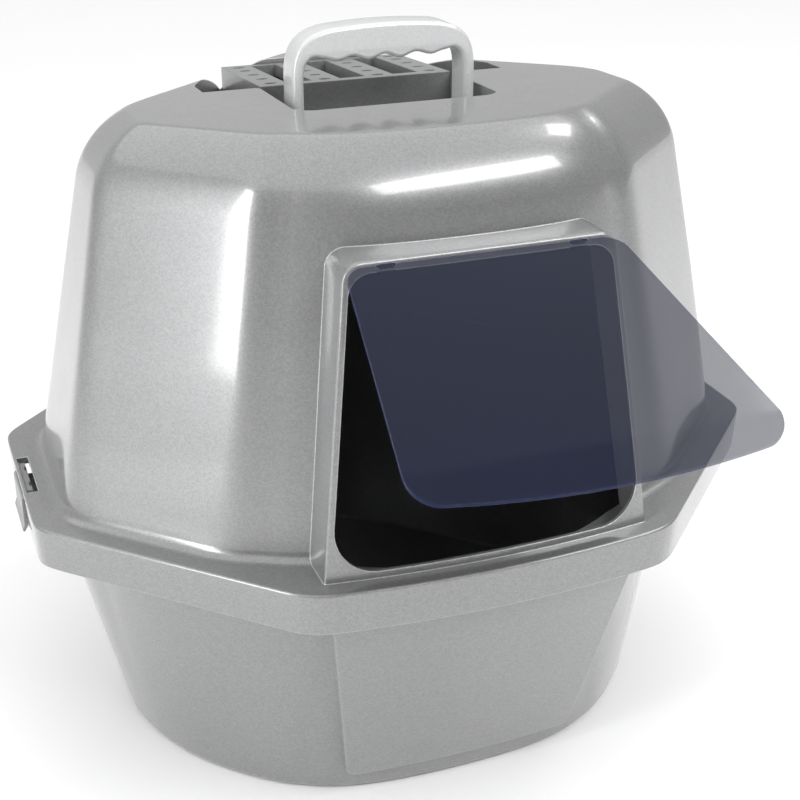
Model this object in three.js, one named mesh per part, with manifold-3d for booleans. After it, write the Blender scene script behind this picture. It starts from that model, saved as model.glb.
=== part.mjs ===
// A hooded cat litter box that stands in the corner of a room: a deep pan, a domed hood latched onto it, a
// smoked door flap, a carry handle that slides down into the roof, and a vent cover over a filter pad.
// Millimetres, +Z up, the door faces -Y. The origin is the middle of the pan's flat underside.
import * as THREE from "three";
import { mergeVertices } from "three/addons/utils/BufferGeometryUtils.js";
import Module from "manifold-3d";

const wasm = await Module();
wasm.setup();

// ---- Driving dimensions -------------------------------------------------------------------------------

const WALL = 2.6; // wall of the pan and hood mouldings
const GAP = 0.4; // clearance between pieces that touch or run on each other
const BOTH = [-1, 1]; // the left and the right side, or the two ends of a piece

const RIM_Z = 208; // top of the ledge that runs around the hood
const SKIRT = 29; // height of the skirt that hangs from the ledge's edge
const EDGE = 1.6; // rounding of the ledge's outer edge

// Distances from the Z axis to the eight sides of the ledge's outline, seen from above.
const RIM = { front: 241.8, frontSlant: 258.7, side: 267.5, backSlant: 226.6, back: 258.4, bow: 9.5 };
const RIM_CORNERS = { front: 70, frontSide: 80, backSide: 80, back: 15 };

const HOOD = { front: 210, frontSlant: 245.7, side: 252.9, backSlant: 211, back: 241, bow: 8 };
const HOOD_LEAN = { front: 0.14, frontSlant: 0.198, side: 0.191, backSlant: 0.241, back: 0.154 };
const HOOD_FOOT = 6; // radius of the fillet between ledge and hood wall
const SHOULDER_Z = 206.6; // height above the ledge where the wall starts to curl into the roof
const SHOULDER_RADIUS = 63.4;
const SHOULDER_TURN = { from: 10, to: 61 }; // the wall's tilt in degrees where the curl starts and ends
const ROOF_FALL = 0.04; // the roof drops this much for each millimetre towards the back
const ROOF_Z = 251; // height of the roof's rim above the ledge, straight above the ledge's widest corners
const WIDEST_Y = -100;
const DOME_CORNERS = { front: 13, backSide: 24, back: 20 };
const RIDGE = { low: 35, high: 110, crispZ: 120 }; // the front side corners get sharper up to this height
const DOME_HEIGHTS = [60, 120, 170]; // rings of the wall, above the ledge

// The pan's outline level with the skirt's lower edge, how far each side leans in for each millimetre down,
// and how sharp its corners are at the floor and at the skirt.
const PAN = { front: 226, frontSlant: 229, side: 250, backSlant: 208.6, back: 240.4, bow: 7.5 };
const PAN_LEAN = { front: 0.285, frontSlant: 0.155, side: 0.244, backSlant: 0.2, back: 0.2 };
const PAN_CORNERS_LOW = { front: 12.7, frontSide: 9, backSide: 12, back: 12 };
const PAN_CORNERS_HIGH = { front: 7.2, frontSide: 6.4, backSide: 12, back: 12 };
const PAN_ROUND = 6; // radius under the pan
const LIP = { inset: 3.6, wall: 2.2, drop: 18 }; // the pan's turned-down lip, inside the hood's skirt
const PAD = { bottomZ: 21, topZ: 184, bottomHalf: 86, topHalf: 107, corner: 8, proud: 4, root: 1.2 };

const SURROUND = { bottomHalf: 111.5, topHalf: 88, height: 196, corner: 13, backY: -150 };
const OPENING = {
  bottomZ: 4.4,
  topZ: 189,
  bottomHalf: 106.6,
  topHalf: 84.8,
  lowCorner: 27,
  highCorner: 15,
};
const FACE_LEAN = 0.117; // the door surround's face leans back this much for each millimetre of height
const FACE_TOP_Y = -208; // the face's front at the opening's top edge
const FACE_BOW = 8; // how far the face bulges at its foot

const HINGE = {
  y: -206.8,
  z: RIM_Z + 190.2,
  x: 62,
  bar: 1.2,
  length: 12,
  window: { front: 12, back: 9, below: 5, above: 3.2 },
};
const FLAP = {
  thickness: 2.2,
  offset: 3, // the panel's middle stands this far in front of the hinge axis
  top: 1.1, // and its top edge this far below it
  topHalf: 88,
  bottomHalf: 112,
  length: 178,
  bow: 9.5,
  lip: 15, // height of the bottom strip that is bent inwards
  bend: 0.23,
  highCorner: 12,
  lowCorner: 18,
};
const HOOK = { inside: 1.6, outside: 2.9, width: 8, from: -0.6, to: 4.1 };
const FLAP_OPEN = 70; // degrees from straight down, as the flap is drawn

const POCKET = {
  half: 72,
  frontY: -70,
  seatHalf: 72.5,
  seatY: 18,
  backY: 132.5,
  floorZ: 205, // height of its floor above the ledge
  corner: 14,
  collar: 8, // height of the collars under its floor that guide the handle's legs
  collarWall: 3.2,
  wingHalf: 112,
  wingY: 20,
  wingDepth: 26,
};
const WING_SLOT = { innerGap: 6.75, outerGap: 10.75, y0: 26, y1: 62 }; // the hole in the floor of each wing
const FILTER_SLOT = { half: 14, margin: 12 }; // the holes under the filter, and how far in they start
const HANDLE = {
  y: -27,
  half: 65,
  leg: 8,
  depth: 25,
  top: 298, // heights above the ledge
  foot: 191.6,
  grip: 21,
  fingers: 4,
  scallop: 1.6,
  shoulderX: 26, // the curl from leg to grip, across and up
  shoulderZ: 34,
  innerCurl: 16,
  round: 3, // depth of the rounding along its edges
  roundIn: 2,
};
const GROOVE = { apart: 11, width: 6, deep: 1.8, below: 40 }; // in the outer faces of the handle's legs
const STOP = { half: 2.5, proud: 2.2, height: 5 }; // under the collars, so that the legs don't pull out
const VENT = {
  half: 71,
  frontY: 20,
  backY: 131,
  frontZ: 248.5, // height of its top edge above the ledge at its front
  fall: 0.077,
  bar: 21, // width of the bars between its slots
  thick: 9,
  wall: 2.2,
  slotFrontY: 30,
  slotBackY: 124,
  ovalHalfX: 4.5,
  ovalHalfY: 3.2,
};
const BAR_X = [-60, -20, 20, 60]; // middles of the bars
const OVAL_Y = [32.8, 55.8, 78.8, 101.8, 120]; // middles of the rows of small oval holes in the bars
const FILTER_THICKNESS = 12;
const FILTER_GAP = 1.5; // between the filter pad and the walls of the vent cover
const LATCH = { y: -19, length: 43, ear: 4.5, windowLength: 55, windowIn: 257.6, windowOut: 265.5 };
const LATCH_GATE = { margin: 1.5, below: 5 };
const LATCH_PIVOT = { x: 262, z: RIM_Z - 8, pin: 1.4, bore: 1.6, earHalf: 3.4, earBelow: 3.2 };
const LATCH_NOTCH = { deep: 14, margin: 2 }; // room in the pan's lip for a latch
const TONGUE_NOTCH = { apart: 24, width: 6, x0: -3, x1: -0.2, z0: 2.5 };

// A latch's section in X and Z for the +X side, measured from its pivot: a tongue up into the ledge's
// window, an arm out through the skirt's gate, and a hook under the pan's lip.
const TONGUE = [[-2.6, 0], [-1.6, 6.6], [2.4, 6.6], [2.6, 1.4]];
const ARM_OUTSIDE = [[5.6, 1.4], [6.8, -0.4], [6.8, -19.5], [8.4, -24], [7.2, -25], [4.4, -20.5]];
const CATCH = [[4.4, -18.2], [-4.2, -18.2], [-4.2, -16], [4.4, -15.6]];
const ARM_INSIDE = [[4.4, -2], [-1.2, -2.4]];

// ---- Solids -------------------------------------------------------------------------------------------

function solid(geometry) {
  const bare = geometry.index ? geometry.clone() : geometry;
  bare.deleteAttribute("normal");
  bare.deleteAttribute("uv");
  const merged = mergeVertices(bare, 1e-4);
  const mesh = new wasm.Mesh({
    numProp: 3,
    vertProperties: new Float32Array(merged.attributes.position.array),
    triVerts: new Uint32Array(merged.index.array),
  });
  return new wasm.Manifold(mesh);
}

function toGeometry(body) {
  const mesh = body.getMesh();
  const geometry = new THREE.BufferGeometry();
  geometry.setAttribute("position", new THREE.BufferAttribute(new Float32Array(mesh.vertProperties), 3));
  geometry.setIndex(new THREE.BufferAttribute(new Uint32Array(mesh.triVerts), 1));
  return geometry;
}

const join = (...bodies) => bodies.reduce((whole, body) => whole.add(body));
const cut = (body, ...tools) => tools.reduce((whole, tool) => whole.subtract(tool), body);

function box(x0, x1, y0, y1, z0, z1) {
  const geometry = new THREE.BoxGeometry(x1 - x0, y1 - y0, z1 - z0);
  geometry.translate((x0 + x1) / 2, (y0 + y1) / 2, (z0 + z1) / 2);
  return solid(geometry);
}

// A closed skin through rings of points that all have the same count, from the lowest ring to the highest.
function loft(rings) {
  const count = rings[0].length;
  const positions = rings.flat().flatMap((point) => [point.x, point.y, point.z]);
  const index = [];
  for (let level = 0; level + 1 < rings.length; level += 1) {
    for (let i = 0; i < count; i += 1) {
      const a = level * count + i;
      const b = level * count + ((i + 1) % count);
      index.push(a, b, b + count, a, b + count, a + count);
    }
  }
  const cap = (ring) => THREE.ShapeUtils.triangulateShape(ring.map((p) => new THREE.Vector2(p.x, p.y)), []);
  const last = (rings.length - 1) * count;
  cap(rings[0]).forEach(([a, b, c]) => index.push(a, c, b));
  cap(rings.at(-1)).forEach(([a, b, c]) => index.push(last + a, last + b, last + c));
  const geometry = new THREE.BufferGeometry();
  geometry.setAttribute("position", new THREE.Float32BufferAttribute(positions, 3));
  geometry.setIndex(index);
  return solid(geometry);
}

// A plate with the outline of a shape drawn in X and Z, from y0 to y1.
function plateAlongY(shape, y0, y1, options = {}) {
  const geometry = new THREE.ExtrudeGeometry(shape, {
    depth: y1 - y0,
    bevelEnabled: false,
    curveSegments: 8,
    ...options,
  });
  geometry.rotateX(Math.PI / 2);
  geometry.translate(0, y1, 0);
  return solid(geometry);
}

function plateAlongZ(shape, z0, z1) {
  const options = { depth: z1 - z0, bevelEnabled: false, curveSegments: 6 };
  const geometry = new THREE.ExtrudeGeometry(shape, options);
  geometry.translate(0, 0, z0);
  return solid(geometry);
}

function rodAlongX(radius, x0, x1, y, z, sides = 20) {
  const geometry = new THREE.CylinderGeometry(radius, radius, x1 - x0, sides);
  geometry.rotateZ(Math.PI / 2);
  geometry.translate((x0 + x1) / 2, y, z);
  return solid(geometry);
}

function rodAlongY(radius, y0, y1, x, z, sides = 20) {
  const geometry = new THREE.CylinderGeometry(radius, radius, y1 - y0, sides);
  geometry.translate(x, (y0 + y1) / 2, z);
  return solid(geometry);
}

// ---- Outlines seen from above -------------------------------------------------------------------------

const SIDES = ["front", "frontSlant", "side", "backSlant", "back"];
const CORNERS = ["front", "frontSide", "backSide", "back"];
const POINTS_PER_SIDE = 8;

function offsetPlan(plan, inset) {
  const result = { bow: plan.bow };
  SIDES.forEach((name) => {
    result[name] = plan[name] - (typeof inset === "number" ? inset : inset[name]);
  });
  return result;
}

// The eight sides in turn, anticlockwise from the front, each with the direction that it faces.
function sidesOf(plan) {
  const order = [...SIDES, "backSlant", "side", "frontSlant"];
  return order.map((name, i) => {
    const angle = -Math.PI / 2 + (i * Math.PI) / 4;
    return { reach: plan[name], angle, normal: new THREE.Vector2(Math.cos(angle), Math.sin(angle)) };
  });
}

function cornerAngle(one, other) {
  const cross = one.normal.cross(other.normal);
  const x = (one.reach * other.normal.y - other.reach * one.normal.y) / cross;
  const y = (other.reach * one.normal.x - one.reach * other.normal.x) / cross;
  return Math.atan2(y, x);
}

// An eight-sided outline whose corners are soft: the larger a corner's sharpness, the smaller its radius.
function outline(plan, sharpness, z) {
  const sides = sidesOf(plan);
  const order = [...CORNERS, ...CORNERS.toReversed()];
  const corners = sides.map((side, i) => {
    const next = sides[(i + 1) % sides.length];
    return { angle: cornerAngle(side, next), power: sharpness[order[i]] };
  });
  const points = [];
  corners.forEach((corner, i) => {
    const next = corners[(i + 1) % corners.length];
    const span = (next.angle - corner.angle + 4 * Math.PI) % (2 * Math.PI);
    for (let step = 0; step < POINTS_PER_SIDE; step += 1) {
      const t = step / POINTS_PER_SIDE;
      const eased = t - (0.7 * Math.sin(2 * Math.PI * t)) / (2 * Math.PI);
      const angle = corner.angle + span * eased;
      const direction = new THREE.Vector2(Math.cos(angle), Math.sin(angle));
      const power = t < 0.5 ? corner.power : next.power;
      const sum = sides.reduce((total, side) => {
        const share = Math.max(0, side.normal.dot(direction) / side.reach);
        return total + Math.pow(share * 100, power);
      }, 0);
      const radius = 100 * Math.pow(sum, -1 / power);
      points.push(bowed(direction.multiplyScalar(radius), plan, z));
    }
  });
  return points;
}

// The front side bulges forward between its two corners.
function bowed(point, plan, z) {
  const half = plan.frontSlant * Math.SQRT2 - plan.front;
  const across = Math.min(1, Math.abs(point.x) / half);
  const bulge = point.y < 0 ? plan.bow * (1 - across * across) : 0;
  return new THREE.Vector3(point.x, point.y - bulge, z);
}

// ---- Hood ---------------------------------------------------------------------------------------------

function roofScale(y) {
  return 1 - (ROOF_FALL * (y - WIDEST_Y)) / ROOF_Z;
}

// One ring of the hood's dome. The wall leans in by its own amount on each side, and the extra inset is the
// same on every side.
function domeRing(height, extra, skin) {
  const inset = {};
  SIDES.forEach((name) => {
    inset[name] = HOOD_LEAN[name] * Math.min(height, SHOULDER_Z) + extra + skin;
  });
  const crisp = THREE.MathUtils.clamp(height / RIDGE.crispZ, 0, 1);
  const corners = { ...DOME_CORNERS, frontSide: THREE.MathUtils.lerp(RIDGE.low, RIDGE.high, crisp) };
  const ring = outline(offsetPlan(HOOD, inset), corners, 0);
  ring.forEach((point) => {
    point.z = RIM_Z + height * roofScale(point.y);
  });
  return ring;
}

// The dome's outer skin starts with a fillet on the ledge. Its inner skin, given by the wall's thickness,
// starts below the ledge so that it cuts right through it.
function domeFoot(skin) {
  if (skin > 0) return [domeRing(-2 * WALL, HOOD_FOOT, skin)];
  const steps = 3;
  const fillet = Array.from({ length: steps + 1 }, (_, step) => {
    const turn = (step / steps) * (Math.PI / 2);
    return domeRing(HOOD_FOOT * (1 - Math.cos(turn)) + 0.01, HOOD_FOOT * Math.sin(turn), skin);
  });
  return [domeRing(-1, 0, skin), ...fillet];
}

function dome(skin) {
  const rings = domeFoot(skin);
  DOME_HEIGHTS.forEach((height) => rings.push(domeRing(height, HOOD_FOOT, skin)));
  const shoulderSteps = 6;
  const from = THREE.MathUtils.degToRad(SHOULDER_TURN.from);
  const to = THREE.MathUtils.degToRad(SHOULDER_TURN.to);
  const radius = SHOULDER_RADIUS - skin;
  for (let step = 0; step <= shoulderSteps; step += 1) {
    const turn = THREE.MathUtils.lerp(from, to, step / shoulderSteps);
    const height = SHOULDER_Z + radius * (Math.sin(turn) - Math.sin(from));
    rings.push(domeRing(height, HOOD_FOOT + radius * (Math.cos(from) - Math.cos(turn)), skin));
  }
  return loft(rings);
}

function ledgeOutside() {
  const low = outline(offsetPlan(RIM, 1), RIM_CORNERS, RIM_Z - SKIRT);
  const high = outline(RIM, RIM_CORNERS, RIM_Z - EDGE);
  const bevel = outline(offsetPlan(RIM, 0.3 * EDGE), RIM_CORNERS, RIM_Z - 0.3 * EDGE);
  const top = outline(offsetPlan(RIM, EDGE), RIM_CORNERS, RIM_Z);
  return loft([low, high, bevel, top]);
}

function ledgeInside() {
  const low = outline(offsetPlan(RIM, WALL + 1), RIM_CORNERS, RIM_Z - SKIRT - 1);
  const high = outline(offsetPlan(RIM, WALL), RIM_CORNERS, RIM_Z - WALL);
  return loft([low, high]);
}

// The front of the door surround's face at a place across and a height above the ledge.
function faceY(x, height) {
  const up = height / OPENING.topZ;
  const across = x / SURROUND.bottomHalf;
  const bulge = FACE_BOW * Math.max(0, 1 - up) * (1 - across * across);
  return FACE_TOP_Y - FACE_LEAN * (OPENING.topZ - height) - bulge;
}

// A trapezoid in X and Z, wider at the bottom, with its own corner radii below and above.
function doorShape({ bottomZ, topZ, bottomHalf, topHalf, lowCorner, highCorner }) {
  const slope = (bottomHalf - topHalf) / (topZ - bottomZ);
  const lean = Math.atan(slope);
  const halfAt = (z) => bottomHalf - slope * (z - bottomZ);
  const shape = new THREE.Shape();
  const lowRun = lowCorner * Math.tan(Math.PI / 4 + lean / 2);
  const highRun = highCorner * Math.tan(Math.PI / 4 - lean / 2);
  const cornerArc = (x, z, radius, from, to) => {
    for (let step = 0; step <= 6; step += 1) {
      const angle = THREE.MathUtils.lerp(from, to, step / 6);
      shape.lineTo(x + radius * Math.cos(angle), z + radius * Math.sin(angle));
    }
  };
  shape.moveTo(0, bottomZ);
  if (lowCorner > 0) {
    cornerArc(bottomHalf - lowRun, bottomZ + lowCorner, lowCorner, -Math.PI / 2, lean);
  } else {
    shape.lineTo(bottomHalf, bottomZ);
  }
  shape.lineTo(halfAt((bottomZ + topZ) / 2), (bottomZ + topZ) / 2);
  cornerArc(topHalf - highRun, topZ - highCorner, highCorner, lean, Math.PI / 2);
  shape.lineTo(0, topZ);
  cornerArc(highRun - topHalf, topZ - highCorner, highCorner, Math.PI / 2, Math.PI - lean);
  shape.lineTo(-halfAt((bottomZ + topZ) / 2), (bottomZ + topZ) / 2);
  if (lowCorner > 0) {
    cornerArc(lowRun - bottomHalf, bottomZ + lowCorner, lowCorner, Math.PI - lean, 1.5 * Math.PI);
  } else {
    shape.lineTo(-bottomHalf, bottomZ);
  }
  return shape;
}

// The raised door surround: its front follows the bowed face and its back ends inside the hood.
function surround(skin) {
  const shape = doorShape({
    bottomZ: skin > 0 ? -2 * WALL : -1,
    topZ: SURROUND.height - skin,
    bottomHalf: SURROUND.bottomHalf - skin,
    topHalf: SURROUND.topHalf - skin,
    lowCorner: 0,
    highCorner: SURROUND.corner - skin,
  });
  const edge = divided(shape.getPoints(), 30);
  const ring = (yOf) => edge.map((p) => new THREE.Vector3(p.x, p.y, -yOf(p.x, p.y)));
  const back = ring(() => SURROUND.backY);
  const front = ring((x, height) => faceY(x, height) + skin);
  return loft([back, front]).rotate([90, 0, 0]).translate([0, 0, RIM_Z]);
}

// The same closed outline with its long straight stretches divided into shorter ones.
function divided(points, longest) {
  const open = points.at(-1).distanceTo(points[0]) < 0.01 ? points.slice(0, -1) : points;
  return open.flatMap((point, i) => {
    const next = open[(i + 1) % open.length];
    const pieces = Math.ceil(point.distanceTo(next) / longest);
    return Array.from({ length: pieces }, (_, step) => point.clone().lerp(next, step / pieces));
  });
}

// The outline of the recess for handle and vent: a pocket in front, the vent's seat and two side wings.
function recessShape(grow) {
  const { corner } = POCKET;
  const front = POCKET.frontY - grow;
  const back = POCKET.backY + grow;
  const half = POCKET.half + grow;
  const seat = POCKET.seatHalf + grow;
  const wing = POCKET.wingHalf + grow;
  const right = [
    [half, POCKET.seatY],
    [seat, POCKET.seatY],
    [seat, POCKET.wingY - grow],
    [wing, POCKET.wingY - grow],
    [wing, POCKET.wingY + POCKET.wingDepth],
    [seat, back],
  ];
  const shape = new THREE.Shape();
  shape.moveTo(0, front);
  shape.lineTo(half - corner, front);
  shape.quadraticCurveTo(half, front, half, front + corner);
  right.forEach(([x, y]) => shape.lineTo(x, y));
  right.toReversed().forEach(([x, y]) => shape.lineTo(-x, y));
  shape.lineTo(-half, front + corner);
  shape.quadraticCurveTo(-half, front, corner - half, front);
  return shape;
}

function recess(grow, floor) {
  return plateAlongZ(recessShape(grow), RIM_Z + floor, RIM_Z + ROOF_Z + 40);
}

// Collars under the recess's floor that guide the handle's legs.
function legCollars() {
  return BOTH.map((side) => {
    const x = side * (HANDLE.half - HANDLE.leg / 2);
    const [halfX, halfY] = [HANDLE.leg / 2 + POCKET.collarWall, HANDLE.depth / 2 + POCKET.collarWall];
    const top = RIM_Z + POCKET.floorZ;
    return box(x - halfX, x + halfX, HANDLE.y - halfY, HANDLE.y + halfY, top - POCKET.collar, top - 0.5);
  });
}

// Slots in the recess's floor: one for each leg, one in each wing and a row under the filter.
function floorSlots() {
  const low = RIM_Z + POCKET.floorZ - POCKET.collar - 5;
  const high = RIM_Z + POCKET.floorZ + 5;
  const slots = BOTH.flatMap((side) => {
    const x = side * (HANDLE.half - HANDLE.leg / 2);
    const [halfX, halfY] = [HANDLE.leg / 2 + GAP, HANDLE.depth / 2 + GAP];
    const [wing0, wing1] = [POCKET.seatHalf + WING_SLOT.innerGap, POCKET.wingHalf - WING_SLOT.outerGap];
    return [
      box(x - halfX, x + halfX, HANDLE.y - halfY, HANDLE.y + halfY, low, high),
      sideBox(side, wing0, wing1, WING_SLOT.y0, WING_SLOT.y1, low, high),
    ];
  });
  const { half, margin } = FILTER_SLOT;
  const [row0, row1] = [VENT.frontY + margin, VENT.backY - margin];
  const row = BAR_X.map((x) => box(x - half, x + half, row0, row1, low, high));
  return [...slots, ...row];
}

// Small windows above the door opening, each crossed by the round bar that a hook of the flap turns on.
function hingeWindow(side) {
  const x = side * HINGE.x;
  const half = HINGE.length / 2;
  const { y, z, window } = HINGE;
  return box(x - half, x + half, y - window.front, y + window.back, z - window.below, z + window.above);
}

function hingeBar(side) {
  const x = side * HINGE.x;
  const half = HINGE.length / 2 + 1;
  return rodAlongX(HINGE.bar, x - half, x + half, HINGE.y, HINGE.z);
}

// The window in the ledge over a latch, and the gate in the skirt that the latch swings through.
function latchCuts(side) {
  const halfWindow = LATCH.windowLength / 2;
  const halfGate = LATCH.length / 2 + LATCH_GATE.margin;
  const [y0, y1] = [LATCH.y - halfWindow, LATCH.y + halfWindow];
  const window = sideBox(side, LATCH.windowIn, LATCH.windowOut, y0, y1, RIM_Z - 5, RIM_Z + 1);
  const [g0, g1] = [LATCH.y - halfGate, LATCH.y + halfGate];
  const gateFoot = RIM_Z - SKIRT - LATCH_GATE.below;
  const gate = sideBox(side, RIM.side - WALL - 2, RIM.side + 2, g0, g1, gateFoot, RIM_Z - WALL);
  return [window, gate];
}

// A box given for the +X side, mirrored when side is -1.
function sideBox(side, x0, x1, ...rest) {
  return side > 0 ? box(x0, x1, ...rest) : box(-x1, -x0, ...rest);
}

// The two ears under the ledge that carry a latch's pivot pins.
function latchEars(side) {
  const { x, z, bore, earHalf, earBelow } = LATCH_PIVOT;
  const ends = BOTH.map((end) => {
    const inner = LATCH.y + end * (LATCH.length / 2 + GAP);
    const outer = inner + end * LATCH.ear;
    const [y0, y1] = [Math.min(inner, outer), Math.max(inner, outer)];
    const ear = sideBox(side, x - earHalf, x + earHalf, y0, y1, z - earBelow, RIM_Z - WALL + 0.5);
    return cut(ear, rodAlongY(bore, y0 - 1, y1 + 1, side * x, z));
  });
  return join(...ends);
}

function makeHood() {
  const shell = cut(join(ledgeOutside(), dome(0), surround(0)), ledgeInside(), dome(WALL), surround(WALL));
  const lining = join(recess(WALL, POCKET.floorZ - WALL), ...legCollars()).intersect(dome(0));
  const roofed = cut(join(shell, lining), recess(0, POCKET.floorZ));
  const doorway = plateAlongY(raised(doorShape(OPENING)), FACE_TOP_Y - 60, FACE_TOP_Y + 90);
  const cuts = [doorway, ...floorSlots(), ...BOTH.map(hingeWindow), ...BOTH.flatMap(latchCuts)];
  return join(cut(roofed, ...cuts), ...BOTH.map(hingeBar), ...BOTH.map(latchEars));
}

// A shape drawn from the ledge's height, moved up to where the ledge is.
function raised(shape) {
  return new THREE.Shape(shape.getPoints().map((point) => new THREE.Vector2(point.x, point.y + RIM_Z)));
}

// ---- Pan ----------------------------------------------------------------------------------------------

const PAN_TOP = RIM_Z - WALL - GAP;

// How far one side of the pan stands in, at a height above the floor, from where it stands at the skirt.
const panInset = (name, z) => PAN_LEAN[name] * (RIM_Z - SKIRT - z);

function panRing(z, skin, curl = 0) {
  const inset = {};
  SIDES.forEach((name) => {
    inset[name] = panInset(name, z) + skin + curl;
  });
  const corners = {};
  const up = Math.min(1, z / (RIM_Z - SKIRT));
  CORNERS.forEach((name) => {
    corners[name] = THREE.MathUtils.lerp(PAN_CORNERS_LOW[name], PAN_CORNERS_HIGH[name], up);
  });
  return outline(offsetPlan(PAN, inset), corners, z);
}

function panBody(skin) {
  const steps = 4;
  const radius = PAN_ROUND - skin;
  const rings = [];
  for (let step = 0; step <= steps; step += 1) {
    const turn = (step / steps) * (Math.PI / 2);
    rings.push(panRing(skin + radius * (1 - Math.cos(turn)), skin, radius * (1 - Math.sin(turn))));
  }
  rings.push(panRing(PAN_TOP + (skin > 0 ? 2 : 0), skin));
  return loft(rings);
}

// The flat lip that the hood's ledge rests on, turned down at its outer edge.
function panLip() {
  const ring = (inset, z) => outline(offsetPlan(RIM, inset), RIM_CORNERS, z);
  const foot = PAN_TOP - LIP.drop;
  const edge = [ring(LIP.inset, PAN_TOP - 1), ring(LIP.inset + 1, PAN_TOP)];
  const outside = loft([ring(LIP.inset + 0.6, foot), ...edge]);
  const inner = LIP.inset + LIP.wall;
  const inside = loft([ring(inner + 0.6, foot - 1), ring(inner, PAN_TOP - WALL)]);
  return cut(outside, inside);
}

// The flat pad that stands proud of the pan's front wall, as a solid that reaches back into the wall.
function frontPad() {
  const { bottomZ, topZ, bottomHalf, topHalf, corner, proud, root } = PAD;
  const wallY = (z) => panInset("front", z) - PAN.front;
  const shape = new THREE.Shape();
  shape.moveTo(-topHalf, topZ);
  shape.lineTo(-bottomHalf - 1, bottomZ + corner);
  shape.quadraticCurveTo(-bottomHalf, bottomZ, corner - bottomHalf, bottomZ);
  shape.lineTo(bottomHalf - corner, bottomZ);
  shape.quadraticCurveTo(bottomHalf, bottomZ, bottomHalf + 1, bottomZ + corner);
  shape.lineTo(topHalf, topZ);
  const edge = divided(shape.getPoints(5), 40);
  const bulge = (x) => PAN.bow * (1 - (x / topHalf) ** 2);
  const ring = (depth) => edge.map((p) => new THREE.Vector3(p.x, p.y, -wallY(p.y) + bulge(p.x) + depth));
  return loft([ring(-root), ring(proud)]).rotate([90, 0, 0]);
}

// Room in the lip for a latch's ears and arm. A band of the lip stays below it for the latch to hook under.
function latchNotch(side) {
  const half = LATCH.length / 2 + LATCH.ear + LATCH_NOTCH.margin;
  const [y0, y1] = [LATCH.y - half, LATCH.y + half];
  return sideBox(side, LATCH.windowIn - 1, RIM.side + 2, y0, y1, RIM_Z - LATCH_NOTCH.deep, RIM_Z + 1);
}

function makePan() {
  const whole = join(panBody(0), frontPad(), panLip());
  return cut(whole, panBody(WALL), ...BOTH.map(latchNotch));
}

// ---- Door flap ----------------------------------------------------------------------------------------

// Drawn hanging straight down from the hinge axis at the origin, outer face towards -Y, then swung open.
function makeFlap() {
  const { thickness, offset, top, topHalf, bottomHalf, length, bow, lip, bend } = FLAP;
  const lean = (bottomHalf - topHalf) / length;
  const fold = length - lip;
  const depthAt = (down) => offset - Math.max(0, down - fold) * Math.tan(bend);
  const shape = new THREE.Shape();
  const halfAt = (down) => topHalf + lean * down;
  shape.moveTo(0, -top);
  shape.lineTo(-(topHalf - FLAP.highCorner), -top);
  shape.quadraticCurveTo(-topHalf, -top, -halfAt(FLAP.highCorner), -FLAP.highCorner);
  shape.lineTo(-halfAt(length - FLAP.lowCorner), FLAP.lowCorner - length);
  const edgeX = bottomHalf - FLAP.lowCorner;
  const drop = (x) => length + bow * (1 - (x / bottomHalf) ** 2);
  shape.quadraticCurveTo(-bottomHalf, -length - 1, -edgeX, -drop(edgeX));
  for (let step = 1; step <= 8; step += 1) {
    const x = THREE.MathUtils.lerp(-edgeX, edgeX, step / 8);
    shape.lineTo(x, -drop(x));
  }
  shape.quadraticCurveTo(bottomHalf, -length - 1, halfAt(length - FLAP.lowCorner), FLAP.lowCorner - length);
  shape.lineTo(halfAt(FLAP.highCorner), -FLAP.highCorner);
  shape.quadraticCurveTo(topHalf, -top, topHalf - FLAP.highCorner, -top);
  const edge = divided(shape.getPoints(6), 60);
  const ring = (face) => edge.map((p) => new THREE.Vector3(p.x, p.y, depthAt(-p.y) + face));
  const panel = loft([ring(-thickness / 2), ring(thickness / 2)]).rotate([90, 0, 0]);
  const whole = join(panel, ...BOTH.map(flapHook));
  return whole.rotate([-FLAP_OPEN, 0, 0]).translate([0, HINGE.y, HINGE.z]);
}

// A hook that wraps the hinge bar from above and joins the flap in front of it.
function flapHook(side) {
  const { inside, outside, width } = HOOK;
  const shape = new THREE.Shape();
  shape.absarc(0, 0, outside, HOOK.from, HOOK.to, false);
  shape.absarc(0, 0, inside, HOOK.to, HOOK.from, true);
  shape.closePath();
  const options = { depth: width, bevelEnabled: false, curveSegments: 14 };
  const geometry = new THREE.ExtrudeGeometry(shape, options);
  geometry.translate(0, 0, -width / 2);
  geometry.rotateX(Math.PI / 2);
  geometry.rotateZ(Math.PI / 2);
  geometry.translate(side * HINGE.x, 0, 0);
  return solid(geometry);
}

// ---- Carry handle -------------------------------------------------------------------------------------

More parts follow.
